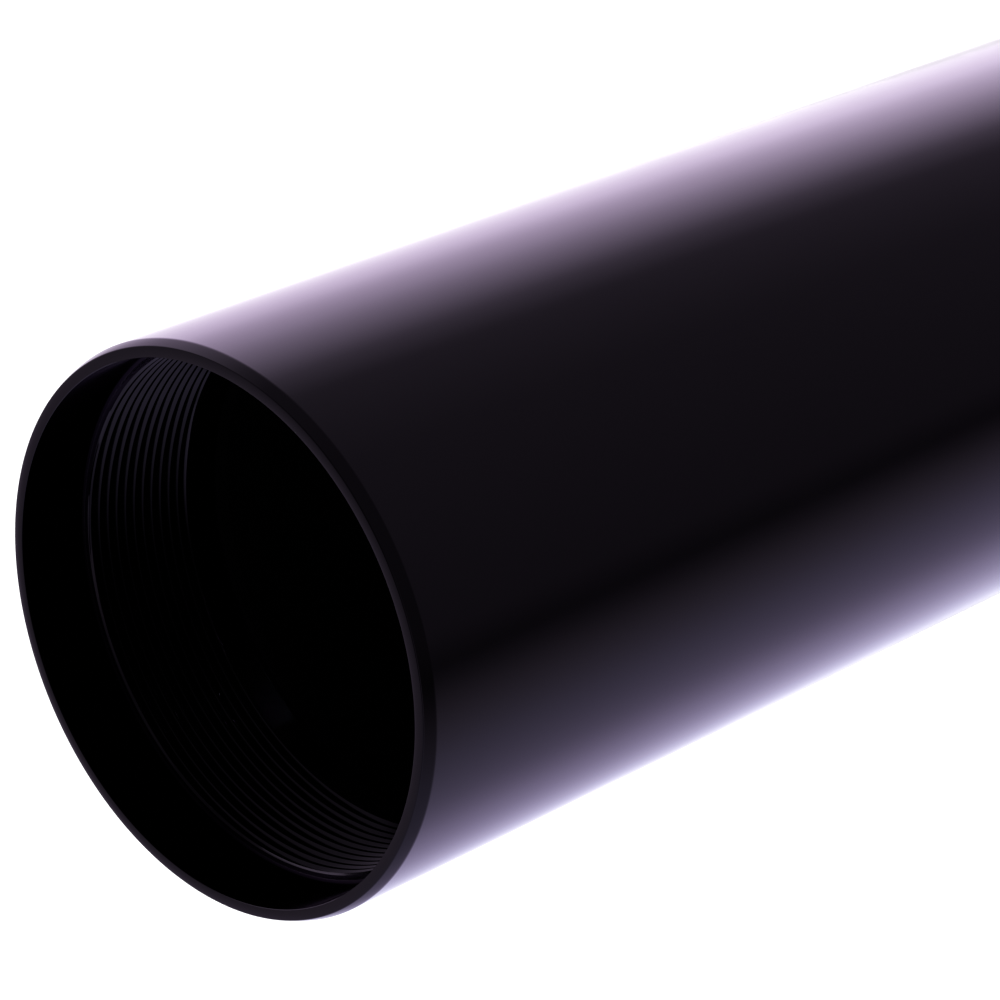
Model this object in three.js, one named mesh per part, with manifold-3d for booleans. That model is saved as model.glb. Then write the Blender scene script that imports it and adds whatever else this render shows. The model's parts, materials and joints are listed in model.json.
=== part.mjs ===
// A long-tube 1.25 inch Barlow lens for a telescope.
// Millimetres. It stands on its eyepiece end: +Z runs along the optical axis, from the face
// that the eyepiece goes into, at z = 0, to the open nose that goes into the telescope.
import * as THREE from "three";
import { mergeVertices } from "three/addons/utils/BufferGeometryUtils.js";
import Module from "manifold-3d";

const wasm = await Module();
wasm.setup();

// ---- Facets and clearances ----------------------------------------------------------------
const ROUND = 48; // facets round the large turned parts
const SCREW_ROUND = 24; // facets round the screws
const SEAM = 0.05; // between turned faces that meet
const GAP = 0.3; // between a screw's tip and what it presses on
const OVERCUT = 1; // how far a cutting tool runs past the surface it cuts
const HEX = 6; // sides of a hexagon socket
const MERGE = 1e-4; // corners closer than this are one corner

// ---- Nose barrel: the smooth 1.25 inch tube -----------------------------------------------
const BARREL_R = 31.75 / 2;
const NOSE_Z = 132; // the rim of the open nose
const SHOULDER_Z = 42; // where the head starts: 90 mm of smooth barrel stand above it
const RIM_BEVEL = 0.25; // radial size of the bevel round the rim
const RIM_BEVEL_LENGTH = 0.65;
const RECESS_R = 15.0; // plain recess inside the rim
const RECESS_DEPTH = 4.45;
const THREAD_CREST_R = 14.62; // the filter thread, bored plain at its crests
const THREAD_LEAD_IN = 0.1; // 45 degree chamfer where it starts, below a narrow step
const THREAD_DEPTH = 11.6; // where it ends, from the rim
const RELIEF_DEPTH = 13.8; // end of the groove that the thread runs out into
const RELIEF_RUN_OUT = 0.9; // length of the cone at that end
const STEP = 0.35; // length of the other cones between bores
const CELL_SEAT_DEPTH = 38.05; // land that the lens cell screws into
const CELL_SEAT_R = 13.2;
const CELL_SEAT_LENGTH = 3.75;
const BORE_R = 13.9; // the light path behind the lens
const TAIL_R = 15.2; // threaded tail inside the head
const TAIL_Z = 33.1;
const TAIL_BORE_R = 15.35; // the head's bore round that tail
const TAIL_SINK = 1.0; // the full barrel goes this far into the head

// ---- Head: holder body and clamp collar ---------------------------------------------------
const HEAD_R = 19;
const SOCKET_R = 15.95; // takes a 1.25 inch eyepiece
const COLLAR_Z = 16; // seam between the clamp collar and the holder body
const STOP_Z = 31; // the lip that an eyepiece stops at
const STOP_R = 14;
const STOP_THICK = 2;
const GRIP_Z = [17.2, 33.8]; // groove for the rubber grip
const GRIP_SEAT_R = 18;
const GRIP_BORE_R = 18.1;
const GRIP_R = 19.5;
const GRIP_END_GAP = 0.15; // between the grip and each end of its groove
const GRIP_EDGE = 0.5;
const TAPER_Z = 38.5;
const TAPER_R = 17.6;
const SPIGOT_R = 17.35; // the holder's thread inside the collar
const SPIGOT_Z = 10.8;
const SKIRT_R = 17.45; // the collar's bore round that thread
const SKIRT_Z = 10.5;
const POCKET_Z = 4.5; // the pocket that holds the split ring
const POCKET_R = 16.95;
const END_CHAMFER = 0.8;
const SOCKET_CHAMFER = 0.6;

// ---- Split ring and thumbscrews -----------------------------------------------------------
const RING_R = [15.97, 16.7];
const RING_Z = [4.8, 10.3];
const RING_SLIT = 2.4; // width of the split
const SCREW_Z = (RING_Z[0] + RING_Z[1]) / 2;
const STUD_R = 1.95; // M4
const STUD_LENGTH = 8.5;
const STUD_TIP = 0.4; // chamfer of its tip
const STUD_HOLE_R = 2.1;
const KNOB_BORE_R = 2.05;
const KNOB_BORE_DEPTH = 5.8;
const KNOB_STANDOFF = 1.0; // neck face to the collar with the screw snug
const KNOB_NECK_R = 3;
const KNOB_NECK = 1.2;
const KNOB_R = 5.2;
const KNOB_EDGE = 0.3;
const KNOB_LENGTH = 8.5;
const KNOB_CROWN = 0.6;

// ---- Lock screws --------------------------------------------------------------------------
const BARREL_LOCK = { z: 37, r: 1.25, hole: 1.4, from: 15.5, length: 2.8, hex: 0.7, deep: 1.2 };
const COLLAR_LOCK = { z: 13.3, r: 1.0, hole: 1.15, from: 17.6, length: 1.2, hex: 0.55, deep: 0.7 };
const BARREL_LOCK_ANGLES = [90, 210, 330]; // degrees from +X
const COLLAR_LOCK_ANGLE = 90;

// ---- Lens cell and optics -----------------------------------------------------------------
const CELL_FRONT_Z = NOSE_Z - 25;
const CELL_LENGTH = 13; // of its full diameter, down to the shoulder that lands on the seat
const CELL_R = 14.5;
const CELL_MOUTH_R = 13.9;
const CELL_THREAD_R = 13.2; // takes the retaining ring
const CELL_TAIL_R = 13.1; // threaded tail, M26 x 0.75, in the barrel's seat
const CELL_TAIL_LENGTH = 3.6;
const CELL_TAIL_BORE_R = 12.2;
const CELL_LIP_R = 11.4; // the flint rests on this lip
const CELL_LIP = 1.05; // height of the lip's seat over the shoulder
const NOTCH_WIDTH = 1.6; // spanner notches in the cell's front rim
const NOTCH_DEPTH = 1.0;
const LENS_R = 12.5;
const LENS_POCKET_R = 12.6;
const FLINT = { thick: 4.2, front: 50, back: 160 }; // centre thickness and surface radii
const CROWN = { thick: 2.2, front: 75, back: 48 };
const SPACER = { thick: 0.5, inner: 11.7, outer: 12.4 };
const RETAINER = { thick: 2, inner: 11.6, outer: 13.1, bevel: 0.8, slot: 1.2, slotDepth: 0.9 };
const LENS_RINGS = 4; // rings of facets on a lens surface

// ---- Glare stops --------------------------------------------------------------------------
const STOP_RINGS = { glare_stop_front: { z: 74, r: 12 }, glare_stop_rear: { z: 54, r: 12.4 } };
const STOP_RING_R = 13.75;
const STOP_RING_THICK = 2;
const STOP_RING_LAND = 0.6; // width of its flat outer land
const STOP_EDGE = 0.3; // thickness at its inner edge

// ---- Materials ----------------------------------------------------------------------------
const finish = (color, roughness, metalness, more = {}) =>
  new THREE.MeshStandardMaterial({ color, roughness, metalness, ...more });
const glossBlack = finish(0x0d0c10, 0.22, 0.6);
const mattBlack = finish(0x08080a, 0.7, 0.3);
const knobBlack = finish(0x141417, 0.45, 0.6);
const rubber = finish(0x121214, 0.85, 0);
const brass = finish(0xc9a455, 0.3, 1);
const steel = finish(0xb9bcc0, 0.28, 1);
const glass = finish(0xbfd8d0, 0.05, 0, { transparent: true, opacity: 0.35 });

// ---- Helpers ------------------------------------------------------------------------------

// Turns a [radius, z] outline about Z. The outline runs anticlockwise, up its outer side.
function turned(outline, facets = ROUND) {
  const points = outline.map(([r, z]) => new THREE.Vector2(r, z));
  return new THREE.LatheGeometry(points, facets).rotateX(Math.PI / 2);
}

// The same for an outline that closes on itself, such as a ring's.
function turnedRing(outline, facets = ROUND) {
  return turned([...outline, outline[0]], facets);
}

function solid(geometry) {
  const bare = geometry.index ? geometry.toNonIndexed() : geometry.clone();
  bare.deleteAttribute("normal");
  bare.deleteAttribute("uv");
  const merged = mergeVertices(bare, MERGE);
  return new wasm.Manifold(
    new wasm.Mesh({
      numProp: 3,
      vertProperties: merged.attributes.position.array,
      triVerts: new Uint32Array(merged.index.array),
    }),
  );
}

function cut(geometry, ...tools) {
  const left = tools.reduce((rest, tool) => rest.subtract(solid(tool)), solid(geometry));
  const { vertProperties, triVerts } = left.getMesh();
  return new THREE.BufferGeometry()
    .setAttribute("position", new THREE.BufferAttribute(vertProperties, 3))
    .setIndex(new THREE.BufferAttribute(triVerts, 1));
}

// A rod along the radius at an angle, from one distance off the axis to another.
function radialRod(radius, from, to, z, degrees, facets = SCREW_ROUND) {
  return new THREE.CylinderGeometry(radius, radius, to - from, facets)
    .rotateZ(-Math.PI / 2)
    .translate((from + to) / 2, 0, z)
    .rotateZ(THREE.MathUtils.degToRad(degrees));
}

// How far a sphere falls away from its pole at a distance r off the axis.
const sag = (sphereR, r) => sphereR - Math.sqrt(sphereR ** 2 - r ** 2);

// Points of a spherical lens surface from its centre to its edge: side is 1 where it is
// hollow towards +Z, and -1 where it is domed towards +Z.
function surface(centreZ, sphereR, side) {
  return Array.from({ length: LENS_RINGS + 1 }, (_, i) => {
    const r = (LENS_R * i) / LENS_RINGS;
    return [r, centreZ + side * sag(sphereR, r)];
  });
}

// ---- Nose barrel --------------------------------------------------------------------------
function noseBarrel() {
  const fromRim = (depth) => NOSE_Z - depth;
  const seat = fromRim(CELL_SEAT_DEPTH);
  return turnedRing([
    [TAIL_R, TAIL_Z],
    [TAIL_R, SHOULDER_Z - TAIL_SINK],
    [BARREL_R, SHOULDER_Z - TAIL_SINK],
    [BARREL_R, fromRim(RIM_BEVEL_LENGTH)],
    [BARREL_R - RIM_BEVEL, NOSE_Z],
    [RECESS_R, NOSE_Z],
    [RECESS_R, fromRim(RECESS_DEPTH)],
    [THREAD_CREST_R + THREAD_LEAD_IN, fromRim(RECESS_DEPTH)],
    [THREAD_CREST_R, fromRim(RECESS_DEPTH + THREAD_LEAD_IN)],
    [THREAD_CREST_R, fromRim(THREAD_DEPTH)],
    [RECESS_R, fromRim(THREAD_DEPTH + STEP)],
    [RECESS_R, fromRim(RELIEF_DEPTH)],
    [THREAD_CREST_R, fromRim(RELIEF_DEPTH + RELIEF_RUN_OUT)],
    [THREAD_CREST_R, seat],
    [CELL_SEAT_R, seat],
    [CELL_SEAT_R, seat - CELL_SEAT_LENGTH],
    [BORE_R, seat - CELL_SEAT_LENGTH - STEP],
    [BORE_R, TAIL_Z],
  ]);
}

// ---- Head ---------------------------------------------------------------------------------
function holderBody() {
  const shell = turnedRing([
    [SPIGOT_R, SPIGOT_Z],
    [SPIGOT_R, COLLAR_Z + SEAM],
    [HEAD_R, COLLAR_Z + SEAM],
    [HEAD_R, GRIP_Z[0]],
    [GRIP_SEAT_R, GRIP_Z[0]],
    [GRIP_SEAT_R, GRIP_Z[1]],
    [HEAD_R, GRIP_Z[1]],
    [HEAD_R, TAPER_Z],
    [TAPER_R, SHOULDER_Z],
    [SOCKET_R, SHOULDER_Z],
    [SOCKET_R, SHOULDER_Z - TAIL_SINK - SEAM],
    [TAIL_BORE_R, SHOULDER_Z - TAIL_SINK - SEAM],
    [TAIL_BORE_R, STOP_Z + STOP_THICK],
    [STOP_R, STOP_Z + STOP_THICK],
    [STOP_R, STOP_Z],
    [SOCKET_R, STOP_Z],
    [SOCKET_R, SPIGOT_Z],
  ]);
  const { hole, z } = BARREL_LOCK;
  const holes = BARREL_LOCK_ANGLES.map((angle) => radialRod(hole, STOP_R, HEAD_R + OVERCUT, z, angle));
  return cut(shell, ...holes);
}

function clampCollar() {
  const shell = turnedRing([
    [HEAD_R - END_CHAMFER, 0],
    [HEAD_R, END_CHAMFER],
    [HEAD_R, COLLAR_Z],
    [SKIRT_R, COLLAR_Z],
    [SKIRT_R, SKIRT_Z],
    [POCKET_R, SKIRT_Z],
    [POCKET_R, POCKET_Z],
    [SOCKET_R, POCKET_Z],
    [SOCKET_R, SOCKET_CHAMFER],
    [SOCKET_R + SOCKET_CHAMFER, 0],
  ]);
  const across = HEAD_R + OVERCUT;
  return cut(
    shell,
    radialRod(STUD_HOLE_R, -across, across, SCREW_Z, 0),
    radialRod(COLLAR_LOCK.hole, SOCKET_R, across, COLLAR_LOCK.z, COLLAR_LOCK_ANGLE),
  );
}

function gripRing() {
  const bottom = GRIP_Z[0] + GRIP_END_GAP;
  const top = GRIP_Z[1] - GRIP_END_GAP;
  return turnedRing([
    [GRIP_BORE_R, bottom],
    [GRIP_R - GRIP_EDGE, bottom],
    [GRIP_R, bottom + GRIP_EDGE],
    [GRIP_R, top - GRIP_EDGE],
    [GRIP_R - GRIP_EDGE, top],
    [GRIP_BORE_R, top],
  ]);
}

// The brass split ring: a C of flat strip, open towards +Y.
function splitRing() {
  const [inner, outer] = RING_R;
  const half = (r) => Math.asin(RING_SLIT / 2 / r);
  const top = Math.PI / 2;
  const outline = new THREE.Shape();
  outline.absarc(0, 0, outer, top + half(outer), top - half(outer) + 2 * Math.PI, false);
  outline.absarc(0, 0, inner, top - half(inner) + 2 * Math.PI, top + half(inner), true);
  const depth = RING_Z[1] - RING_Z[0];
  return new THREE.ExtrudeGeometry(outline, { depth, bevelEnabled: false, curveSegments: ROUND })
    .translate(0, 0, RING_Z[0]);
}

// ---- Thumbscrews: a steel stud pressed into a knurled knob --------------------------------
function stud() {
  return turned(
    [
      [0, 0],
      [STUD_R - STUD_TIP, 0],
      [STUD_R, STUD_TIP],
      [STUD_R, STUD_LENGTH],
      [0, STUD_LENGTH],
    ],
    SCREW_ROUND,
  );
}

function knob() {
  return turned(
    [
      [0, KNOB_BORE_DEPTH],
      [KNOB_BORE_R, KNOB_BORE_DEPTH],
      [KNOB_BORE_R, 0],
      [KNOB_NECK_R, 0],
      [KNOB_NECK_R, KNOB_NECK],
      [KNOB_R - KNOB_EDGE, KNOB_NECK],
      [KNOB_R, KNOB_NECK + KNOB_EDGE],
      [KNOB_R, KNOB_LENGTH - KNOB_CROWN],
      [KNOB_R - KNOB_CROWN, KNOB_LENGTH],
      [0, KNOB_LENGTH],
    ],
    SCREW_ROUND,
  );
}

// ---- Lock screws: grub screws with a hexagon socket ---------------------------------------
function grubScrew({ z, r, from, length, hex, deep }, degrees) {
  const head = from + length;
  const body = radialRod(r, from, head, z, degrees);
  const socket = radialRod(hex, head - deep, head + OVERCUT, z, degrees, HEX);
  return cut(body, socket);
}

// ---- Lens cell and optics -----------------------------------------------------------------

// The optics are stacked on the cell's lip, each resting on the one below near its edge.
const SHOULDER_OF_CELL_Z = CELL_FRONT_Z - CELL_LENGTH;
const LENS_SEAT_Z = SHOULDER_OF_CELL_Z + CELL_LIP;
const FLINT_BACK_Z = LENS_SEAT_Z + SEAM + sag(FLINT.back, LENS_R);
const FLINT_FRONT_Z = FLINT_BACK_Z + FLINT.thick;
const SPACER_Z = FLINT_FRONT_Z - sag(FLINT.front, SPACER.inner) + SEAM;
const CROWN_BACK_Z = SPACER_Z + SPACER.thick + SEAM + sag(CROWN.back, LENS_R);
const CROWN_FRONT_Z = CROWN_BACK_Z + CROWN.thick;
const RETAINER_Z = CROWN_FRONT_Z + sag(CROWN.front, LENS_R) + SEAM;

function lensCell() {
  const shell = turnedRing([
    [CELL_TAIL_BORE_R, SHOULDER_OF_CELL_Z - CELL_TAIL_LENGTH],
    [CELL_TAIL_R, SHOULDER_OF_CELL_Z - CELL_TAIL_LENGTH],
    [CELL_TAIL_R, SHOULDER_OF_CELL_Z],
    [CELL_R, SHOULDER_OF_CELL_Z],
    [CELL_R, CELL_FRONT_Z],
    [CELL_MOUTH_R, CELL_FRONT_Z],
    [CELL_THREAD_R, CELL_FRONT_Z - (CELL_MOUTH_R - CELL_THREAD_R)],
    [CELL_THREAD_R, RETAINER_Z - SEAM],
    [LENS_POCKET_R, RETAINER_Z - SEAM],
    [LENS_POCKET_R, LENS_SEAT_Z],
    [CELL_LIP_R, LENS_SEAT_Z],
    [CELL_LIP_R, SHOULDER_OF_CELL_Z],
  ]);
  const notches = new THREE.BoxGeometry(NOTCH_WIDTH, 4 * CELL_R, 2 * NOTCH_DEPTH);
  return cut(shell, notches.translate(0, 0, CELL_FRONT_Z));
}

function retainingRing() {
  const { thick, inner, outer, bevel, slot, slotDepth } = RETAINER;
  const top = RETAINER_Z + thick;
  const ring = turnedRing([
    [inner, RETAINER_Z],
    [outer, RETAINER_Z],
    [outer, top],
    [inner + bevel, top],
    [inner, top - bevel],
  ]);
  const slots = new THREE.BoxGeometry(slot, 4 * outer, 2 * slotDepth);
  return cut(ring, slots.translate(0, 0, top));
}

// The front element, hollow on both sides.
function crownLens() {
  return turned([
    ...surface(CROWN_BACK_Z, CROWN.back, -1),
    ...surface(CROWN_FRONT_Z, CROWN.front, 1).reverse(),
  ]);
}

// The rear element, a meniscus whose domed side faces the crown.
function flintLens() {
  return turned([
    ...surface(FLINT_BACK_Z, FLINT.back, -1),
    ...surface(FLINT_FRONT_Z, FLINT.front, -1).reverse(),
  ]);
}

function lensSpacer() {
  const { thick, inner, outer } = SPACER;
  return turnedRing([
    [inner, SPACER_Z],
    [outer, SPACER_Z],
    [outer, SPACER_Z + thick],
    [inner, SPACER_Z + thick],
  ]);
}

function glareStop({ z, r }) {
  return turnedRing([
    [r, z],
    [STOP_RING_R, z],
    [STOP_RING_R, z + STOP_RING_THICK],
    [STOP_RING_R - STOP_RING_LAND, z + STOP_RING_THICK],
    [r, z + STOP_EDGE],
  ]);
}

// ---- Assembly -----------------------------------------------------------------------------
const barlow = new THREE.Group();

function add(name, geometry, material, parent = barlow) {
  const mesh = new THREE.Mesh(geometry, material);
  mesh.name = name;
  parent.add(mesh);
  return mesh;
}

add("nose_barrel", noseBarrel(), glossBlack);
add("holder_body", holderBody(), glossBlack);
add("clamp_collar", clampCollar(), glossBlack);
add("grip_ring", gripRing(), rubber);
add("split_ring", splitRing(), brass);

BARREL_LOCK_ANGLES.forEach((angle, i) => {
  add(`barrel_lock_screw_${i + 1}`, grubScrew(BARREL_LOCK, angle), mattBlack);
});
add("collar_lock_screw", grubScrew(COLLAR_LOCK, COLLAR_LOCK_ANGLE), mattBlack);

for (const [name, place] of Object.entries(STOP_RINGS)) {
  add(name, glareStop(place), mattBlack);
}

add("lens_cell", lensCell(), mattBlack);
add("retaining_ring", retainingRing(), mattBlack);
add("crown_lens", crownLens(), glass);
add("lens_spacer", lensSpacer(), mattBlack);
add("flint_lens", flintLens(), glass);

// Each thumbscrew is drawn along +Z and laid over, so that it points away from the axis.
[1, -1].forEach((side, i) => {
  const screw = new THREE.Group();
  screw.rotation.y = (side * Math.PI) / 2;
  screw.position.z = SCREW_Z;
  barlow.add(screw);
  const tip = add(`thumbscrew_${i + 1}_stud`, stud(), steel, screw);
  tip.position.z = RING_R[1] + GAP;
  const head = add(`thumbscrew_${i + 1}_knob`, knob(), knobBlack, screw);
  head.position.z = HEAD_R + KNOB_STANDOFF;
});

export default barlow;
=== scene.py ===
"""The looks of a long-tube 1.25 inch Barlow lens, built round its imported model.

The model stands on its eyepiece end with its open nose up. Sizes here are in millimetres, and
MM turns them into metres where a mesh, a light or the camera is made.
"""
import json
import math

import bmesh
import bpy
from mathutils import Matrix, Vector


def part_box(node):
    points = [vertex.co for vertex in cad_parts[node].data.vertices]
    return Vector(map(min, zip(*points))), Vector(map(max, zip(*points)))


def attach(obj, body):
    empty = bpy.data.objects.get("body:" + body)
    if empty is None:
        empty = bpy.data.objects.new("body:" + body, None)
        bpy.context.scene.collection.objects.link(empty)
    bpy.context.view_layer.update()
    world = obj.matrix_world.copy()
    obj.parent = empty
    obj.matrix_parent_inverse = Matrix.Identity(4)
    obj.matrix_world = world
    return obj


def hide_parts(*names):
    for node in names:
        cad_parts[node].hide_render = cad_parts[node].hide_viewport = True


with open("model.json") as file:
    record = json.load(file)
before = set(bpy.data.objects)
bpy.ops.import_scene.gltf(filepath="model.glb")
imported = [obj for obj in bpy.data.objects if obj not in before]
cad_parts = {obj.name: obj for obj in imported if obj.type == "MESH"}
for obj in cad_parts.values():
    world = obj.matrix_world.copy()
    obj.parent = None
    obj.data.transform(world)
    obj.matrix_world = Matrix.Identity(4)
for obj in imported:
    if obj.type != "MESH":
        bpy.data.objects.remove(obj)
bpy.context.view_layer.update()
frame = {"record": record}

MM = 0.001
TURN = 2 * math.pi


def low(node):
    """A node's lowest height."""
    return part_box(node)[0].z / MM


def high(node):
    """A node's greatest height."""
    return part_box(node)[1].z / MM


def radius(node):
    """The outer radius of a node that is round about Z."""
    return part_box(node)[1].x / MM


# ---- Sizes, from the frame where it has them ------------------------------------------------
BARREL_R = radius("nose_barrel")
RIM_Z = high("nose_barrel")
SHOULDER_Z = high("holder_body")
HEAD_R = radius("clamp_collar")
SCREW_Z = (low("thumbscrew_1_knob") + high("thumbscrew_1_knob")) / 2

# Nose: depths are counted from the rim.
RIM_BEVEL = 0.25
RIM_BEVEL_LENGTH = 0.65
RECESS_R = 15.0
RIM_ROUND = 0.05
RIM_FALL = 0.015  # the rim's face falls away this much towards its outer edge
RECESS_DEPTH = 4.45
THREAD_LEAD_IN = 0.1
THREAD_END = 11.95
RELIEF_DEPTH = 13.8
RELIEF_RUN_OUT = 0.9
BORE_STEP = 0.35
CELL_BORE_R = 14.62
CELL_SEAT_DEPTH = 38.05
CELL_SEAT_R = 13.2
CELL_SEAT_LENGTH = 3.75
BORE_R = 13.9
NOSE_THREAD = {"crest": 14.62, "root": 14.88, "pitch": 0.638, "crest_flat": 0.32, "root_flat": 0.2}
NOSE_THREAD_TURN = 0.28  # turns the whole thread about the axis, in turns
TAIL_R = 15.2
TAIL_SINK = 1.0
BARREL_ROUND = 0.09
RECESS_CORNER = 0.01

# Head
SOCKET_R = 15.95
STOP_Z = 31.0
STOP_R = 14.0
STOP_THICK = 2.0
GRIP_SEAT_R = 18.0
GRIP_GROOVE = (17.2, 33.8)
TAPER_Z = 38.5
TAPER_R = 17.6
SPIGOT_R = 17.35
SKIRT_R = 17.45
SKIRT_Z = 10.5
POCKET_Z = 4.5
POCKET_R = 16.95
END_CHAMFER = 0.8
SOCKET_CHAMFER = 0.6
HEAD_ROUND = 0.15
TAIL_GAP = 0.15  # between the barrel's tail and the holder
STUD_HOLE_R = 2.1
SEAM = 0.05

FINE = 256  # columns round a large turned piece
SMALL = 96  # columns round a screw
HEXAGON = 6  # columns round a hexagon socket
CREASE = 32  # degrees: edges sharper than this aren't shaded smooth
BLUNT = math.radians(165)  # corners blunter than this aren't softened
SOFT_STEPS = 3  # steps along a softened corner
MERGE = 1e-5  # vertices closer than this are one
OVERCUT = 1  # how far a cutting tool reaches past the surface it cuts


# ---- Camera ---------------------------------------------------------------------------------
CAMERA_DOWN = 41.3  # degrees below level
CAMERA_ROLL = -112.4  # degrees
CAMERA_LENS = 153.2
CAMERA_TO_RIM = (-0.9465, -0.4474, 13.885)  # right, up and forward, in barrel radii


def add_camera():
    """A long lens that looks down into the nose, rolled so that the barrel runs to the upper
    right."""
    down = math.radians(CAMERA_DOWN)
    roll = math.radians(CAMERA_ROLL)
    forward = Vector((0, math.cos(down), -math.sin(down)))
    level = Vector((1, 0, 0))
    steep = Vector((0, math.sin(down), math.cos(down)))
    right = math.cos(roll) * level + math.sin(roll) * steep
    up = -math.sin(roll) * level + math.cos(roll) * steep
    rim = Vector((0, 0, RIM_Z))
    rim_right, rim_up, rim_forward = CAMERA_TO_RIM
    offset = rim_right * right + rim_up * up + rim_forward * forward
    camera = bpy.data.objects.new("camera", bpy.data.cameras.new("camera"))
    camera.data.lens = CAMERA_LENS
    camera.data.clip_start = 10 * MM
    camera.data.clip_end = 100
    turned_to = Matrix((right, up, -forward)).transposed().to_4x4()
    camera.matrix_world = Matrix.Translation((rim - BARREL_R * offset) * MM) @ turned_to
    bpy.context.scene.collection.objects.link(camera)
    bpy.context.scene.camera = camera


add_camera()


# ---- Mesh building --------------------------------------------------------------------------
def softened(outline, size, closed=True):
    """The outline with each corner replaced by a small curve. A third number in a corner is its
    own size of curve."""
    count = len(outline)
    result = []
    for i, corner in enumerate(outline):
        if not closed and i in (0, count - 1):
            result.append(corner)
            continue
        here = Vector(corner[:2])
        before = Vector(outline[i - 1][:2]) - here
        after = Vector(outline[(i + 1) % count][:2]) - here
        if before.angle(after) > BLUNT:
            result.append(corner[:2])
            continue
        wanted = corner[2] if len(corner) > 2 else size
        reach = min(wanted, 0.45 * before.length, 0.45 * after.length)
        start = here + before.normalized() * reach
        end = here + after.normalized() * reach
        for step in range(SOFT_STEPS + 1):
            t = step / SOFT_STEPS
            point = start * (1 - t) ** 2 + here * 2 * t * (1 - t) + end * t**2
            result.append((point.x, point.y))
    return result


def band(outline_at, columns, closed=False, lead=0):
    """A surface swept once about Z, as vertices and faces.

    outline_at(share) gives the outline of (radius, z) points at that share of a turn. Over a
    helix the last column meets the first one lead points further on.
    """
    vertices = []
    faces = []
    rows = [outline_at(i / columns) for i in range(columns)]
    count = len(rows[0])
    for i, row in enumerate(rows):
        angle = TURN * i / columns
        vertices += [(r * math.cos(angle), r * math.sin(angle), z) for r, z in row]
    for i in range(columns):
        shift = lead if i == columns - 1 else 0
        here = i * count
        there = (i + 1) % columns * count
        for j in range(count if closed else count - 1):
            k = (j + 1) % count
            far = [min(n + shift, count - 1) for n in (k, j)]
            faces.append((here + j, here + k, there + far[0], there + far[1]))
    return vertices, faces


def turned(outline, columns=FINE, closed=True):
    """A surface of revolution."""
    return band(lambda share: outline, columns, closed)


def joined(*parts):
    """Several sets of vertices and faces as one. Vertices that coincide are merged later."""
    vertices = []
    faces = []
    for part_vertices, part_faces in parts:
        offset = len(vertices)
        vertices += part_vertices
        faces += [tuple(n + offset for n in face) for face in part_faces]
    return vertices, faces


def moved(part, matrix):
    """Vertices and faces with the vertices transformed."""
    vertices, faces = part
    return [tuple(matrix @ Vector(v)) for v in vertices], faces


def build(name, part, crease=CREASE):
    """An object from vertices and faces in millimetres, merged, facing out and smooth."""
    vertices, faces = part
    mesh = bpy.data.meshes.new(name)
    work = bmesh.new()
    made = [work.verts.new(v) for v in vertices]
    for face in faces:
        corners = [made[n] for n in dict.fromkeys(face)]
        if len(corners) > 2:
            work.faces.new(corners)
    bmesh.ops.remove_doubles(work, verts=work.verts, dist=MERGE)
    bmesh.ops.dissolve_degenerate(work, edges=work.edges, dist=MERGE)
    bmesh.ops.recalc_face_normals(work, faces=work.faces)
    bmesh.ops.scale(work, vec=Vector((MM, MM, MM)), verts=work.verts)
    work.to_mesh(mesh)
    work.free()
    mesh.shade_smooth()
    mesh.set_sharp_from_angle(angle=math.radians(crease))
    thing = bpy.data.objects.new(name, mesh)
    bpy.context.scene.collection.objects.link(thing)
    return thing


def cut_by(thing, *tools):
    """Cuts the tools' solids out of a piece, and leaves the tools out of the scene."""
    for tool in tools:
        cutter = build(thing.name + "_cutter", tool)
        modifier = thing.modifiers.new("cut", "BOOLEAN")
        modifier.operation = "DIFFERENCE"
        modifier.solver = "EXACT"
        modifier.object = cutter
        graph = bpy.context.evaluated_depsgraph_get()
        mesh = bpy.data.meshes.new_from_object(thing.evaluated_get(graph))
        thing.modifiers.clear()
        thing.data = mesh
        bpy.data.objects.remove(cutter)
    thing.data.shade_smooth()
    thing.data.set_sharp_from_angle(angle=math.radians(CREASE))
    return thing


def finished(thing, node, material):
    """Stands the piece for its CAD node, on that node's body, in its material."""
    thing.data.materials.clear()
    thing.data.materials.append(material)
    body = next(b for b, nodes in frame["record"]["behaviour"]["bodies"].items() if node in nodes)
    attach(thing, body)
    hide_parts(node)


def rod(r, start, end, columns=SMALL):
    """A closed rod along Z."""
    return turned([(0, start), (r, start), (r, end), (0, end)], columns, closed=False)


def radial(part, degrees, z):
    """Lays a part drawn along +Z over, so that it points away from the axis at that angle."""
    lay = Matrix.Rotation(math.radians(90), 4, "Y")
    turn = Matrix.Rotation(math.radians(degrees), 4, "Z")
    return moved(part, Matrix.Translation((0, 0, z)) @ turn @ lay)


def smooth(value):
    """The value held between 0 and 1, and eased at both."""
    value = min(max(value, 0), 1)
    return value * value * (3 - 2 * value)


# ---- Threads --------------------------------------------------------------------------------
def helix_band(start, end, pitch, radius_at, columns, turn=0.0, per_pitch=12):
    """A right-handed helical surface between two heights.

    radius_at(phase, z) gives its radius at that share of a pitch. Points past either end are
    drawn in to it, where they merge.
    """
    turns = math.ceil((end - start) / pitch) + 2

    def outline(share):
        points = []
        for n in range(turns * per_pitch + 1):
            z = start + pitch * (n / per_pitch + share - 1 - turn % 1)
            z = min(max(z, start), end)
            points.append((radius_at(n / per_pitch % 1, z), z))
        return points

    return band(outline, columns, lead=per_pitch)


def ridge(phase, crest_flat, root_flat):
    """Height of a thread's ridge, 0 to 1, at a share of its pitch."""
    flank = (1 - crest_flat - root_flat) / 2
    distance = abs(phase - 0.5)
    return min(max((0.5 - root_flat / 2 - distance) / flank, 0), 1)


# ---- Material building ----------------------------------------------------------------------
NOISE_SPAN = (0.3, 0.7)  # where nearly all of a noise's values lie
EDGE_SPAN = (0.52, 0.6)  # pointiness at which an edge starts to count, and fully counts


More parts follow.
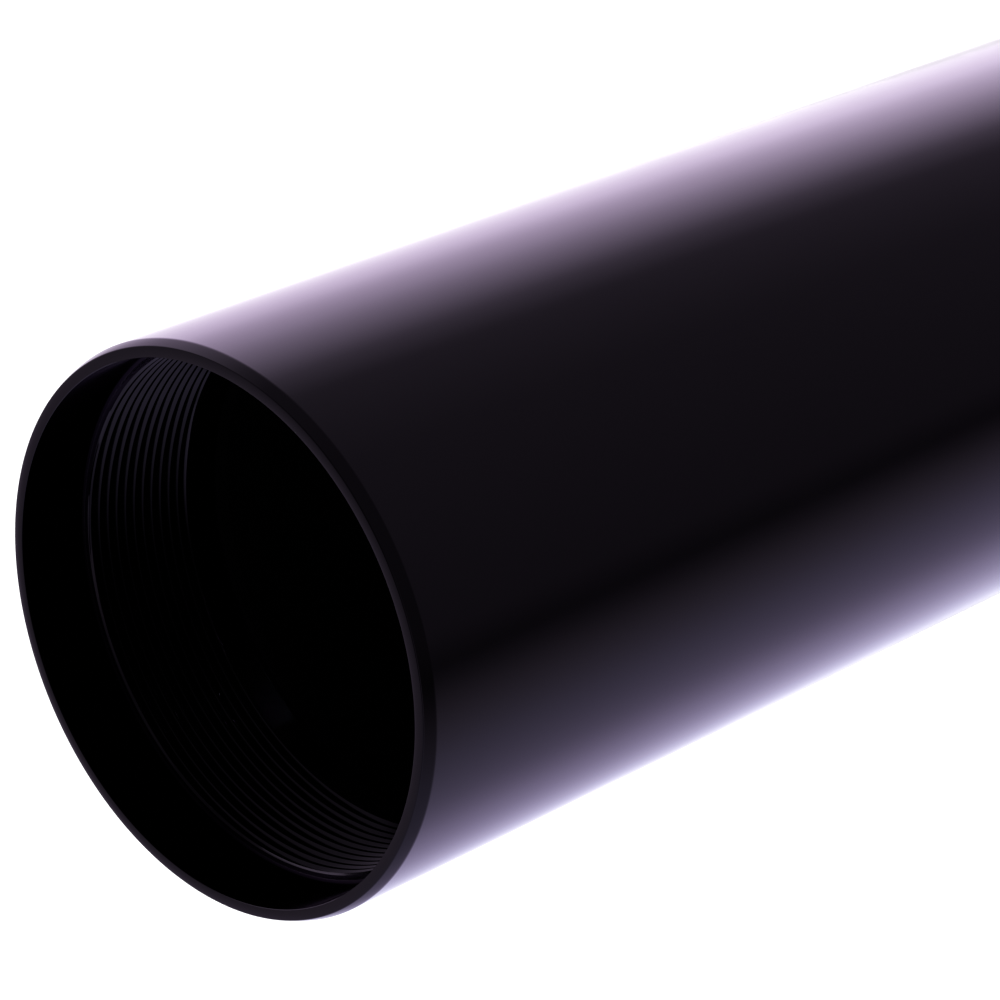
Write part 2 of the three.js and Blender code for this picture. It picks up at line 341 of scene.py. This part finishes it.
class Surface:
    """A node material round one Principled shader."""

    def __init__(self, name):
        self.material = bpy.data.materials.new(name)
        self.material.use_nodes = True
        self.nodes = self.material.node_tree.nodes
        self.links = self.material.node_tree.links
        self.shader = self.nodes["Principled BSDF"]

    def set(self, **values):
        for name, value in values.items():
            self.shader.inputs[name.replace("_", " ")].default_value = value

    def node(self, kind, settings=None, **inputs):
        made = self.nodes.new("ShaderNode" + kind)
        for name, value in (settings or {}).items():
            setattr(made, name, value)
        for name, value in inputs.items():
            socket = made.inputs[name.replace("_", " ")]
            if isinstance(value, bpy.types.NodeSocket):
                self.links.new(value, socket)
            else:
                socket.default_value = value
        return made

    def place(self, scale=(1, 1, 1)):
        """Object coordinates, stretched."""
        where = self.node("TexCoord").outputs["Object"]
        return self.node("Mapping", Vector=where, Scale=scale).outputs["Vector"]

    def noise(self, size, scale=(1, 1, 1), detail=3.0):
        """Noise with features of about that size in millimetres, 0 to 1."""
        made = self.node("TexNoise", Vector=self.place(scale), Scale=1 / (size * MM), Detail=detail)
        return made.outputs["Fac"]

    def ramp(self, value, start, end, low_value, high_value):
        made = self.node("MapRange", Value=value)
        made.inputs["From Min"].default_value = start
        made.inputs["From Max"].default_value = end
        made.inputs["To Min"].default_value = low_value
        made.inputs["To Max"].default_value = high_value
        return made.outputs["Result"]

    def mix(self, factor, first, second):
        made = self.nodes.new("ShaderNodeMix")
        made.data_type = "RGBA"
        self.links.new(factor, made.inputs["Factor"])
        for index, value in ((6, first), (7, second)):
            if isinstance(value, bpy.types.NodeSocket):
                self.links.new(value, made.inputs[index])
            else:
                made.inputs[index].default_value = (*value, 1)
        return made.outputs[2]

    def drive(self, name, value):
        self.links.new(value, self.shader.inputs[name])

    def bump(self, height, distance, strength=1.0):
        """Relief of that depth in millimetres."""
        made = self.node("Bump", Strength=strength, Distance=distance * MM, Height=height)
        self.drive("Normal", made.outputs["Normal"])

    def patchy(self, size, smoothest, roughest):
        """Roughness that varies over patches of about that size in millimetres."""
        self.drive("Roughness", self.ramp(self.noise(size), *NOISE_SPAN, smoothest, roughest))

    def mix_value(self, factor, first, second):
        return self.node("Mix", Factor=factor, A=first, B=second).outputs["Result"]

    def deep_bore(self):
        """1 within the barrel's bore and deeper than the nose thread, and 0 elsewhere."""
        off_axis = self.node("VectorMath", {"operation": "LENGTH"}, Vector=self.place((1, 1, 0)))
        limit = (CELL_BORE_R + 0.2) * MM
        inside = self.ramp(off_axis.outputs["Value"], limit, limit * 1.01, 1, 0)
        height = self.node("SeparateXYZ", Vector=self.place()).outputs["Z"]
        start = (RIM_Z - THREAD_END - 1) * MM
        deep = self.ramp(height, start - 0.5 * MM, start, 1, 0)
        both = self.node("Math", {"operation": "MULTIPLY"})
        self.links.new(inside, both.inputs[0])
        self.links.new(deep, both.inputs[1])
        return both.outputs[0]

    def edges(self):
        """1 on convex edges and 0 elsewhere."""
        pointed = self.node("NewGeometry").outputs["Pointiness"]
        return self.ramp(pointed, *EDGE_SPAN, 0, 1)


def gloss_black():
    """Polished black anodise: a dark metal that turns purple towards its edges, with the faintest
    turning marks."""
    s = Surface("gloss_black_anodise")
    s.set(Metallic=1.0, Specular_Tint=(0.93, 0.83, 1.0, 1))
    blotch = s.noise(14)
    outside = s.mix(blotch, (0.041, 0.0325, 0.048), (0.044, 0.035, 0.051))
    s.drive("Base Color", s.mix(s.deep_bore(), outside, (0.012, 0.011, 0.013)))
    haze = s.noise(5, detail=6)
    polish = s.ramp(haze, *NOISE_SPAN, 0.1, 0.14)
    s.drive("Roughness", s.mix_value(s.deep_bore(), polish, 0.6))
    marks = s.noise(0.5, scale=(0.06, 0.06, 4))
    s.bump(marks, 0.0006, 0.4)
    return s.material


def satin_black():
    """The knobs' bead-blasted black anodise."""
    s = Surface("satin_black_anodise")
    s.set(IOR=1.5, Specular_Tint=(1.0, 0.85, 1.15, 1))
    s.drive("Base Color", s.mix(s.edges(), (0.004, 0.0038, 0.005), (0.03, 0.03, 0.034)))
    s.patchy(1.2, 0.26, 0.36)
    s.bump(s.noise(0.08), 0.003)
    return s.material


def matt_black():
    """The optical black of cell, rings and stops."""
    s = Surface("optical_black")
    s.set(IOR=1.4)
    s.drive("Base Color", s.mix(s.noise(2), (0.0012, 0.0012, 0.0014), (0.003, 0.003, 0.0035)))
    s.patchy(0.6, 0.5, 0.65)
    s.bump(s.noise(0.1), 0.004)
    return s.material


def rubber():
    """The grip's matt moulded rubber."""
    s = Surface("grip_rubber")
    s.set(IOR=1.45)
    s.drive("Base Color", s.mix(s.noise(3), (0.009, 0.009, 0.01), (0.016, 0.016, 0.017)))
    s.patchy(0.8, 0.6, 0.8)
    s.bump(s.noise(0.18), 0.02)
    return s.material


def turned_metal(name, colour, worn, rough, grain=(0.05, 0.05, 4)):
    """Bare metal with the fine grooves of the lathe."""
    s = Surface(name)
    s.set(Metallic=1.0)
    s.drive("Base Color", s.mix(s.noise(1.5), colour, worn))
    s.patchy(0.4, rough, rough + 0.12)
    s.bump(s.noise(0.3, scale=grain), 0.004)
    return s.material


def black_oxide():
    """The lock screws' black oxide, worn through to the steel on their edges."""
    s = Surface("black_oxide_steel")
    s.set(Metallic=0.8)
    s.drive("Base Color", s.mix(s.edges(), (0.02, 0.02, 0.022), (0.12, 0.12, 0.12)))
    s.patchy(0.5, 0.3, 0.45)
    s.bump(s.noise(0.1), 0.003)
    return s.material


def coated_glass(name, ior, tint):
    """Lens glass whose coating leaves a faint coloured reflection, with a few specks of dust."""
    s = Surface(name)
    s.set(IOR=ior, Transmission_Weight=1.0, Specular_IOR_Level=0.12, Specular_Tint=(*tint, 1))
    s.set(Base_Color=(0.97, 0.99, 0.98, 1))
    dust = s.ramp(s.noise(0.35, detail=1), 0.74, 0.78, 0, 0.12)
    s.drive("Roughness", dust)
    return s.material


GLOSS = gloss_black()
SATIN = satin_black()
MATT = matt_black()
RUBBER = rubber()
BRASS = turned_metal("split_ring_brass", (0.62, 0.42, 0.16), (0.72, 0.52, 0.24), 0.24)
STEEL = turned_metal("stud_steel", (0.5, 0.5, 0.51), (0.62, 0.62, 0.63), 0.22, (4, 0.05, 0.05))
OXIDE = black_oxide()
CROWN_GLASS = coated_glass("crown_glass_coated", 1.52, (0.35, 0.8, 0.5))
FLINT_GLASS = coated_glass("flint_glass_coated", 1.62, (0.6, 0.4, 0.85))


# ---- Nose barrel ----------------------------------------------------------------------------
def nose_thread():
    """The internal nose thread, with a chamfer where it starts and a cone where it ends."""
    start = RIM_Z - THREAD_END
    end = RIM_Z - RECESS_DEPTH
    crest = NOSE_THREAD["crest"]
    depth = NOSE_THREAD["root"] - crest

    def radius_at(phase, z):
        from_end = end - z
        groove = 1 - ridge(phase, NOSE_THREAD["crest_flat"], NOSE_THREAD["root_flat"])
        thread_r = crest + depth * groove * min(from_end / THREAD_LEAD_IN, 1)
        chamfer_r = crest + THREAD_LEAD_IN - from_end
        return max(thread_r, chamfer_r, RECESS_R - (z - start))

    return helix_band(start, end, NOSE_THREAD["pitch"], radius_at, FINE, NOSE_THREAD_TURN)


def nose_barrel():
    """One closed skin: its outer side, its bore, and between two rings of the bore the thread."""
    seat = RIM_Z - CELL_SEAT_DEPTH
    baffle_top = seat - CELL_SEAT_LENGTH - BORE_STEP
    from_tail = low("nose_barrel")
    outer = [
        (NOSE_THREAD["crest"] + THREAD_LEAD_IN, RIM_Z - RECESS_DEPTH),
        (RECESS_R, RIM_Z - RECESS_DEPTH, RECESS_CORNER),
        (RECESS_R, RIM_Z, RIM_ROUND),
        (BARREL_R - RIM_BEVEL, RIM_Z - RIM_FALL, RIM_ROUND),
        (BARREL_R, RIM_Z - RIM_BEVEL_LENGTH, 2 * RIM_ROUND),
        (BARREL_R, SHOULDER_Z - TAIL_SINK),
        (TAIL_R, SHOULDER_Z - TAIL_SINK),
        (TAIL_R, from_tail),
        (BORE_R, from_tail),
        (BORE_R, baffle_top),
        (CELL_SEAT_R, seat - CELL_SEAT_LENGTH),
        (CELL_SEAT_R, seat),
        (CELL_BORE_R, seat),
        (CELL_BORE_R, RIM_Z - RELIEF_DEPTH - RELIEF_RUN_OUT),
        (RECESS_R, RIM_Z - RELIEF_DEPTH),
        (RECESS_R, RIM_Z - THREAD_END),
    ]
    skin = turned(softened(outer, BARREL_ROUND, closed=False), closed=False)
    return build("barrel_tube", joined(skin, nose_thread()))


# ---- Head -----------------------------------------------------------------------------------
# Each screw runs between two distances from the axis. "deep" is its hexagon socket's depth.
BARREL_SCREW = {"hole": 1.4, "r": 1.25, "hex": 0.7, "deep": 1.2, "reach": (15.5, 18.3)}
COLLAR_SCREW = {"hole": 1.15, "r": 1.0, "hex": 0.55, "deep": 0.7, "reach": (17.6, 18.8)}
LOCK_SCREWS = {
    "barrel_lock_screw_1": {"at": 90, **BARREL_SCREW},
    "barrel_lock_screw_2": {"at": 210, **BARREL_SCREW},
    "barrel_lock_screw_3": {"at": 330, **BARREL_SCREW},
    "collar_lock_screw": {"at": 90, **COLLAR_SCREW},
}


def screw_hole(name, start):
    """The tool that bores a lock screw's hole, from that distance off the axis outwards."""
    screw = LOCK_SCREWS[name]
    height = (low(name) + high(name)) / 2
    return radial(rod(screw["hole"], start, HEAD_R + OVERCUT), screw["at"], height)


def holder_body():
    """The head's main tube, with a stop lip that ends the eyepiece's travel."""
    shell = [
        (SPIGOT_R, low("holder_body")),
        (SPIGOT_R, high("clamp_collar") + SEAM),
        (HEAD_R, high("clamp_collar") + SEAM),
        (HEAD_R, GRIP_GROOVE[0]),
        (GRIP_SEAT_R, GRIP_GROOVE[0]),
        (GRIP_SEAT_R, GRIP_GROOVE[1]),
        (HEAD_R, GRIP_GROOVE[1]),
        (HEAD_R, TAPER_Z),
        (TAPER_R, SHOULDER_Z),
        (SOCKET_R, SHOULDER_Z),
        (SOCKET_R, SHOULDER_Z - TAIL_SINK - SEAM),
        (TAIL_R + TAIL_GAP, SHOULDER_Z - TAIL_SINK - SEAM),
        (TAIL_R + TAIL_GAP, STOP_Z + STOP_THICK),
        (STOP_R, STOP_Z + STOP_THICK),
        (STOP_R, STOP_Z),
        (SOCKET_R, STOP_Z),
        (SOCKET_R, low("holder_body")),
    ]
    body = build("holder_shell", turned(softened(shell, HEAD_ROUND)))
    holes = [screw_hole(name, STOP_R) for name in LOCK_SCREWS if name.startswith("barrel")]
    return cut_by(body, *holes)


def clamp_collar():
    """The collar at the eyepiece's end, with a pocket for the split ring."""
    shell = [
        (HEAD_R - END_CHAMFER, 0),
        (HEAD_R, END_CHAMFER),
        (HEAD_R, high("clamp_collar")),
        (SKIRT_R, high("clamp_collar")),
        (SKIRT_R, SKIRT_Z),
        (POCKET_R, SKIRT_Z),
        (POCKET_R, POCKET_Z),
        (SOCKET_R, POCKET_Z),
        (SOCKET_R, SOCKET_CHAMFER),
        (SOCKET_R + SOCKET_CHAMFER, 0),
    ]
    collar = build("collar_shell", turned(softened(shell, HEAD_ROUND)))
    across = rod(STUD_HOLE_R, -HEAD_R - OVERCUT, HEAD_R + OVERCUT)
    return cut_by(collar, radial(across, 0, SCREW_Z), screw_hole("collar_lock_screw", SOCKET_R))


def grip_ring():
    """Ribbed rubber: fine ribs along the axis between two plain bands."""
    bottom, top = low("grip_ring"), high("grip_ring")
    outer = radius("grip_ring")
    inner = GRIP_SEAT_R + 0.1
    plain = 1.9
    ribs = 64
    columns_per_rib = 10
    groove = 0.55
    edge = 0.5  # how far an edge's rounding reaches
    edge_cut = 0.15  # what it takes off half way round
    hold = 0.3  # a last level stretch of each plain band
    run_out = 0.45

    def outline(share):
        rib = 0.5 + 0.5 * math.cos(TURN * ribs * share)
        valley = outer - groove * (1 - smooth(rib * 1.8))
        return [
            (inner, bottom),
            (outer - edge, bottom),
            (outer - edge_cut, bottom + edge_cut),
            (outer, bottom + edge),
            (outer, bottom + plain - hold),
            (outer, bottom + plain),
            (valley, bottom + plain + run_out),
            (valley, top - plain - run_out),
            (outer, top - plain),
            (outer, top - plain + hold),
            (outer, top - edge),
            (outer - edge_cut, top - edge_cut),
            (outer - edge, top),
            (inner, top),
        ]

    return build("grip_rubber", band(outline, ribs * columns_per_rib, closed=True), crease=40)


def split_ring():
    """The brass strip, rolled into a C that is open towards +Y."""
    bottom, top = low("split_ring"), high("split_ring")
    inner, outer = 15.97, 16.7
    half_slit = 1.2 / outer  # as an angle
    steps = 160
    sweep = TURN - 2 * half_slit
    section = softened([(inner, bottom), (outer, bottom), (outer, top), (inner, top)], 0.12)
    count = len(section)
    vertices = []
    faces = []
    for i in range(steps + 1):
        angle = TURN / 4 + half_slit + sweep * i / steps
        vertices += [(r * math.cos(angle), r * math.sin(angle), z) for r, z in section]
    for i in range(steps):
        for j in range(count):
            k = (j + 1) % count
            faces.append((i * count + j, i * count + k, (i + 1) * count + k, (i + 1) * count + j))
    faces.append(tuple(range(count)))
    faces.append(tuple(steps * count + j for j in range(count)))
    return build("split_ring_strip", (vertices, faces))


def lock_screw(name):
    """A grub screw: threaded flanks, and a hexagon socket in a flat end."""
    screw = LOCK_SCREWS[name]
    start, end = screw["reach"]
    pitch = 0.36 * screw["r"]
    depth = 0.1 * screw["r"]
    tip = 0.15

    def radius_at(phase, z):
        thread_r = screw["r"] - depth * (1 - ridge(phase, 0.2, 0.2))
        return min(thread_r, screw["r"] - depth + min(z - start - tip, end - tip - z))

    flank = helix_band(start + tip, end - tip, pitch, radius_at, SMALL, per_pitch=8)
    root = screw["r"] - depth
    lower = turned([(0, start), (root - tip, start), (root, start + tip)], SMALL, closed=False)
    upper = turned([(root, end - tip), (root - tip, end), (0, end)], SMALL, closed=False)
    height = (low(name) + high(name)) / 2
    place = screw["at"], height
    body = build(name + "_grub", radial(joined(lower, flank, upper), *place))
    socket = rod(screw["hex"], end - screw["deep"], end + OVERCUT, HEXAGON)
    return cut_by(body, radial(socket, *place))


# ---- Thumbscrews ----------------------------------------------------------------------------
THUMBSCREWS = {1: 0, 2: 180}  # where each one points, in degrees round the axis
STUD_R = 1.95
STUD_TIP_X = 17.0
STUD_LENGTH = 8.5
KNOB_BORE_R = 2.05
KNOB_BORE_DEPTH = 5.8
KNOB_NECK_R = 3.0
KNOB_NECK = 1.2
KNOB_R = 5.2
KNOB_LENGTH = 8.5
KNOB_CROWN = 0.6
KNURLS = 34
COLUMNS_PER_KNURL = 8


def stud(number):
    """A stainless stud with its M4 thread, and a plain turned tip."""
    start = STUD_TIP_X
    end = start + STUD_LENGTH
    plain = 1.0
    tip_round = 0.35
    bevel = 0.2
    pitch = 0.7
    depth = 0.32
    root = STUD_R - depth

    def radius_at(phase, z):
        thread_r = STUD_R - depth * (1 - ridge(phase, 0.15, 0.15))
        return min(thread_r, root + min(z - start - plain, end - bevel - z))

    tip = softened([(0, start), (root, start), (root, start + plain)], tip_round, closed=False)
    flank = helix_band(start + plain, end - bevel, pitch, radius_at, SMALL)
    back = [(root, end - bevel), (root - bevel, end), (0, end)]
    part = joined(turned(tip, SMALL, closed=False), flank, turned(back, SMALL, closed=False))
    return build(f"thumbscrew_{number}_stud_thread", radial(part, THUMBSCREWS[number], SCREW_Z))


def knob(number):
    """A knurled knob: a plain neck, a diamond knurl, and a face with a turned dish."""
    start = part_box("thumbscrew_1_knob")[0].x / MM
    end = start + KNOB_LENGTH
    knurl_low = start + KNOB_NECK + 0.45
    knurl_high = end - KNOB_CROWN - 0.25
    knurl_rows = 36
    knurl_depth = 0.36
    knurl_fade = 0.3
    bevel = 0.15
    lift = KNURLS / (TURN * KNOB_R)  # knurl waves per millimetre, so that the diamonds are square

    def knurl(share, z):
        waves = [KNURLS * share + lift * z, KNURLS * share - lift * z]
        grooves = [abs(2 * (wave % 1) - 1) for wave in waves]
        fade = smooth(min(z - knurl_low, knurl_high - z) / knurl_fade)
        return KNOB_R - knurl_depth * (1 - min(1, 1.5 * min(grooves))) * fade

    below = [
        (0, start + KNOB_BORE_DEPTH),
        (KNOB_BORE_R, start + KNOB_BORE_DEPTH),
        (KNOB_BORE_R, start + bevel),
        (KNOB_BORE_R + bevel, start),
        (KNOB_NECK_R - bevel, start),
        (KNOB_NECK_R, start + bevel),
        (KNOB_NECK_R, start + KNOB_NECK - 0.1),
        (KNOB_NECK_R + 0.1, start + KNOB_NECK),
        (KNOB_R - 0.5, start + KNOB_NECK),
        (KNOB_R - 0.1, start + KNOB_NECK + 0.3),
    ]
    above = [
        (KNOB_R - 0.05, end - KNOB_CROWN),
        (KNOB_R - 0.2, end - 0.25),
        (KNOB_R - 0.6, end - 0.02),
        (KNOB_R - 0.8, end),
        (KNOB_R - 1.5, end),
        (KNOB_R - 1.65, end - 0.12),
        (1.2, end - 0.35),
        (0, end - 0.4),
    ]

    def outline(share):
        heights = [
            knurl_low + (knurl_high - knurl_low) * n / knurl_rows for n in range(knurl_rows + 1)
        ]
        return below + [(knurl(share, z), z) for z in heights] + above

    part = radial(band(outline, KNURLS * COLUMNS_PER_KNURL), THUMBSCREWS[number], SCREW_Z)
    return build(f"thumbscrew_{number}_knob_knurled", part, crease=50)


# ---- Lens cell and optics -------------------------------------------------------------------
CELL_R = 14.5
CELL_MOUTH_R = 13.9
CELL_THREAD_R = 13.2
CELL_TAIL_R = 13.1
CELL_TAIL_LENGTH = 3.6
CELL_TAIL_BORE_R = 12.2
CELL_LIP_R = 11.4
CELL_LIP = 1.05
LENS_POCKET_R = 12.6
LENS_EDGE_BEVEL = 0.2
CELL_NOTCHES = (1.6, 4 * CELL_R, 2.0)  # a tool across the mouth cuts both spanner notches
RING_NOTCHES = (1.2, 4 * CELL_R + 2, 1.8)
OPTICS_ROUND = 0.1
SPACER_ROUND = 0.08
LENS_RINGS = 24

# The radii of each lens's back and front face, and whether each is hollow or domed towards +Z.
HOLLOW = 1
DOMED = -1
CROWN = {"radii": (48, 75), "sides": (DOMED, HOLLOW)}
FLINT = {"radii": (160, 50), "sides": (DOMED, DOMED)}
GLARE_STOP_BORES = {"glare_stop_front": 12.0, "glare_stop_rear": 12.4}


def lens_cell():
    """The cup that holds the lenses, on a threaded tail, with a lip behind them."""
    bottom, top = low("lens_cell"), high("lens_cell")
    shoulder = bottom + CELL_TAIL_LENGTH
    ring_z = low("retaining_ring") - SEAM
    shell = [
        (CELL_TAIL_BORE_R, bottom),
        (CELL_TAIL_R, bottom),
        (CELL_TAIL_R, shoulder),
        (CELL_R, shoulder),
        (CELL_R, top),
        (CELL_MOUTH_R, top),
        (CELL_THREAD_R, top - (CELL_MOUTH_R - CELL_THREAD_R)),
        (CELL_THREAD_R, ring_z),
        (LENS_POCKET_R, ring_z),
        (LENS_POCKET_R, shoulder + CELL_LIP),
        (CELL_LIP_R, shoulder + CELL_LIP),
        (CELL_LIP_R, shoulder),
    ]
    cell = build("lens_cell_body", turned(softened(shell, OPTICS_ROUND)))
    return cut_by(cell, block(CELL_NOTCHES, top))


def block(size, z):
    """A box centred on the axis at that height."""
    half_x, half_y, half_z = [side / 2 for side in size]
    corners = []
    for x in (-half_x, half_x):
        for y in (-half_y, half_y):
            corners += [(x, y, z - half_z), (x, y, z + half_z)]
    faces = [(0, 1, 3, 2), (4, 6, 7, 5), (0, 4, 5, 1), (2, 3, 7, 6), (0, 2, 6, 4), (1, 5, 7, 3)]
    return corners, faces


def retaining_ring():
    """The ring that holds the lenses down, with a bevel round its bore."""
    bottom, top = low("retaining_ring"), high("retaining_ring")
    inner, outer = 11.6, 13.1
    bevel = 0.8
    outline = [(inner, bottom), (outer, bottom), (outer, top), (12.4, top), (inner, top - bevel)]
    ring = build("retaining_ring_body", turned(softened(outline, OPTICS_ROUND)))
    return cut_by(ring, block(RING_NOTCHES, top))


def lens(name, node, shape):
    """A lens with two spherical faces and a small bevel round each."""
    back_r, front_r = shape["radii"]
    back_side, front_side = shape["sides"]
    edge = radius(node)
    face_r = edge - LENS_EDGE_BEVEL

    def sag(sphere, r):
        return sphere - math.sqrt(sphere**2 - r**2)

    def face(edge_z, sphere, side):
        rise = sag(sphere, edge)
        reach = [face_r * n / LENS_RINGS for n in range(LENS_RINGS + 1)]
        return [(r, edge_z - side * rise + side * sag(sphere, r)) for r in reach]

    bottom, top = low(node), high(node)
    front_edge = top if front_side == HOLLOW else top - sag(front_r, edge)
    back = face(bottom, back_r, back_side)
    front = face(front_edge, front_r, front_side)
    middle = [(edge, bottom + LENS_EDGE_BEVEL), (edge, front_edge - LENS_EDGE_BEVEL)]
    return build(name, turned(back + middle + front[::-1], closed=False), crease=20)


def lens_spacer():
    """The plain ring between the lenses."""
    bottom, top = low("lens_spacer"), high("lens_spacer")
    inner, outer = 11.7, 12.4
    outline = [(inner, bottom), (outer, bottom), (outer, top), (inner, top)]
    return build("lens_spacer_ring", turned(softened(outline, SPACER_ROUND)))


def glare_stop(node):
    """A ring that thins to a blunt edge at its bore."""
    bottom, top = low(node), high(node)
    inner = GLARE_STOP_BORES[node]
    outer = radius(node)
    land = 0.6
    edge = 0.3
    outline = [(inner, bottom), (outer, bottom), (outer, top), (outer - land, top)]
    outline.append((inner, bottom + edge))
    return build(node + "_ring", turned(softened(outline, SPACER_ROUND)))


# ---- Assembly -------------------------------------------------------------------------------
finished(nose_barrel(), "nose_barrel", GLOSS)
finished(holder_body(), "holder_body", GLOSS)
finished(clamp_collar(), "clamp_collar", GLOSS)
finished(grip_ring(), "grip_ring", RUBBER)
finished(split_ring(), "split_ring", BRASS)
for screw_name in LOCK_SCREWS:
    finished(lock_screw(screw_name), screw_name, OXIDE)
for screw_number in THUMBSCREWS:
    finished(stud(screw_number), f"thumbscrew_{screw_number}_stud", STEEL)
    finished(knob(screw_number), f"thumbscrew_{screw_number}_knob", SATIN)
finished(lens_cell(), "lens_cell", MATT)
finished(retaining_ring(), "retaining_ring", MATT)
crown = lens("crown_element", "crown_lens", CROWN)
finished(crown, "crown_lens", CROWN_GLASS)
finished(lens_spacer(), "lens_spacer", MATT)
flint = lens("flint_element", "flint_lens", FLINT)
finished(flint, "flint_lens", FLINT_GLASS)
for stop_name in GLARE_STOP_BORES:
    finished(glare_stop(stop_name), stop_name, MATT)


# ---- Floor and light ------------------------------------------------------------------------
FLOOR_HALF = 6000
FLOOR_DROP = 0.02

# The tent's radiance at each bearing in degrees, as gloss reflections show it. Bearings are
# counted from the camera's side, and are positive towards +X.
TENT_STOPS = [
    (-180, 1.5), (-140, 1.3), (-118, 1.12), (-101, 0.78), (-80, 0.53), (-62, 0.28),
    (-50, 0.11), (-43, 0.05), (-30, 0.1), (0, 0.12), (40, 0.15), (74, 0.23), (86, 0.53),
    (99, 1.36), (114, 2.1), (134, 2.4), (160, 1.65), (180, 1.5),
]
TENT_WHITE = 2.5  # radiance of a white stop
ROOF = 0.16
WHITE = (1.0, 1.0, 1.0, 1.0)
COOL = (0.99, 1.06, 1.2, 1.0)
SOFT_LEVEL = 1.25  # what the camera and diffuse light see, all round
KEY_SIZE = 700
KEY_ENERGY = 6
KEY_PLACE = (-300, -250, 900)


def add_floor():
    """A pale floor that gloss reflections don't see."""
    size = FLOOR_HALF
    corners = [(-size, -size, 0), (size, -size, 0), (size, size, 0), (-size, size, 0)]
    floor = build("floor", (corners, [(0, 1, 2, 3)]))
    floor.location.z = -FLOOR_DROP * MM
    s = Surface("pale_floor")
    s.set(Base_Color=(0.9, 0.9, 0.9, 1), Roughness=1.0, IOR=1.0)
    floor.data.materials.append(s.material)
    floor.visible_glossy = False


def add_world():
    """A white tent that is open and dark on the camera's side.

    Gloss reflections and light through the lenses see it. It is bright behind the model, and
    brightest low down, behind on the +X side. Its roof is dim, and dimmest straight up. The -X
    side is slightly blue. The camera and diffuse light see plain white.
    """
    world = bpy.data.worlds.new("tent")
    bpy.context.scene.world = world
    world.use_nodes = True
    nodes, links = world.node_tree.nodes, world.node_tree.links
    nodes.clear()

    def node(kind, operation=None, *inputs):
        made = nodes.new("ShaderNode" + kind)
        if operation:
            made.operation = operation
        for index, value in enumerate(inputs):
            if isinstance(value, bpy.types.NodeSocket):
                links.new(value, made.inputs[index])
            else:
                made.inputs[index].default_value = value
        return made.outputs[0]

    def ramp(value, start, end, first, last):
        made = nodes.new("ShaderNodeMapRange")
        made.interpolation_type = "SMOOTHSTEP"
        links.new(value, made.inputs["Value"])
        made.inputs["From Min"].default_value = start
        made.inputs["From Max"].default_value = end
        made.inputs["To Min"].default_value = first
        made.inputs["To Max"].default_value = last
        return made.outputs["Result"]

    direction = nodes.new("ShaderNodeTexCoord").outputs["Generated"]
    split = nodes.new("ShaderNodeSeparateXYZ")
    links.new(direction, split.inputs[0])
    x, y, z = split.outputs
    towards = node("Math", "MULTIPLY", y, -1.0)
    bearing = node("Math", "ARCTAN2", x, towards)  # radians
    share = node("MapRange", None, bearing, -math.pi, math.pi, 0.0, 1.0)
    tent = nodes.new("ShaderNodeValToRGB")
    links.new(share, tent.inputs[0])
    tent.color_ramp.interpolation = "LINEAR"
    ramp_stops = tent.color_ramp.elements
    while len(ramp_stops) < len(TENT_STOPS):
        ramp_stops.new(0.5)
    for element, (degrees, radiance) in zip(ramp_stops, TENT_STOPS):
        element.position = (degrees + 180) / 360
        level = radiance / TENT_WHITE
        element.color = (level, level, level, 1)
    sides = node("Math", "MULTIPLY", tent.outputs["Color"], TENT_WHITE)
    low_light = node("Math", "MULTIPLY", sides, ramp(z, -0.62, -0.3, 1.0, 0.5))
    across = node("Math", "SQRT", node("Math", "SUBTRACT", 1.0, node("Math", "MULTIPLY", z, z)))
    behind = node("Math", "MULTIPLY", y, 0.12)
    aside = node("Math", "MULTIPLY", x, 0.18)
    roof = node("Math", "ADD", ROOF, node("Math", "SUBTRACT", behind, aside))
    roof = node("Math", "MULTIPLY", roof, ramp(across, 0.3, 0.85, 0.0, 1.0))
    high_light = node("Math", "ADD", roof, ramp(x, 0.05, 0.45, 0.012, 0.045))
    blend = nodes.new("ShaderNodeMix")
    links.new(ramp(z, 0.25, 0.6, 0.0, 1.0), blend.inputs[0])
    links.new(low_light, blend.inputs[2])
    links.new(high_light, blend.inputs[3])
    not_front = ramp(bearing, -1.5, -0.9, 1.0, 0.0)
    not_back = ramp(bearing, -3.1, -2.6, 0.0, 1.0)
    cooler = node("Math", "MULTIPLY", not_front, not_back)
    hue = nodes.new("ShaderNodeMix")
    hue.data_type = "RGBA"
    links.new(cooler, hue.inputs["Factor"])
    hue.inputs[6].default_value = WHITE
    hue.inputs[7].default_value = COOL
    gloss = node("Background", None, hue.outputs[2], blend.outputs[0])
    soft = node("Background", None, WHITE, SOFT_LEVEL)
    path = nodes.new("ShaderNodeLightPath").outputs
    plain = node("Math", "MAXIMUM", path["Is Camera Ray"], path["Is Diffuse Ray"])
    pick = nodes.new("ShaderNodeMixShader")
    links.new(plain, pick.inputs[0])
    links.new(gloss, pick.inputs[1])
    links.new(soft, pick.inputs[2])
    output = nodes.new("ShaderNodeOutputWorld")
    links.new(pick.outputs[0], output.inputs[0])


def add_key_light():
    """A large soft light overhead, for the shadow under the model."""
    light = bpy.data.lights.new("softbox", "AREA")
    light.shape = "DISK"
    light.size = KEY_SIZE * MM
    light.energy = KEY_ENERGY
    lamp = bpy.data.objects.new("softbox", light)
    lamp.location = Vector(KEY_PLACE) * MM
    lamp.rotation_euler = (-lamp.location).to_track_quat("-Z", "Y").to_euler()
    lamp.visible_glossy = False
    bpy.context.scene.collection.objects.link(lamp)


add_floor()
add_world()
add_key_light()
bpy.context.scene.view_settings.view_transform = "Standard"
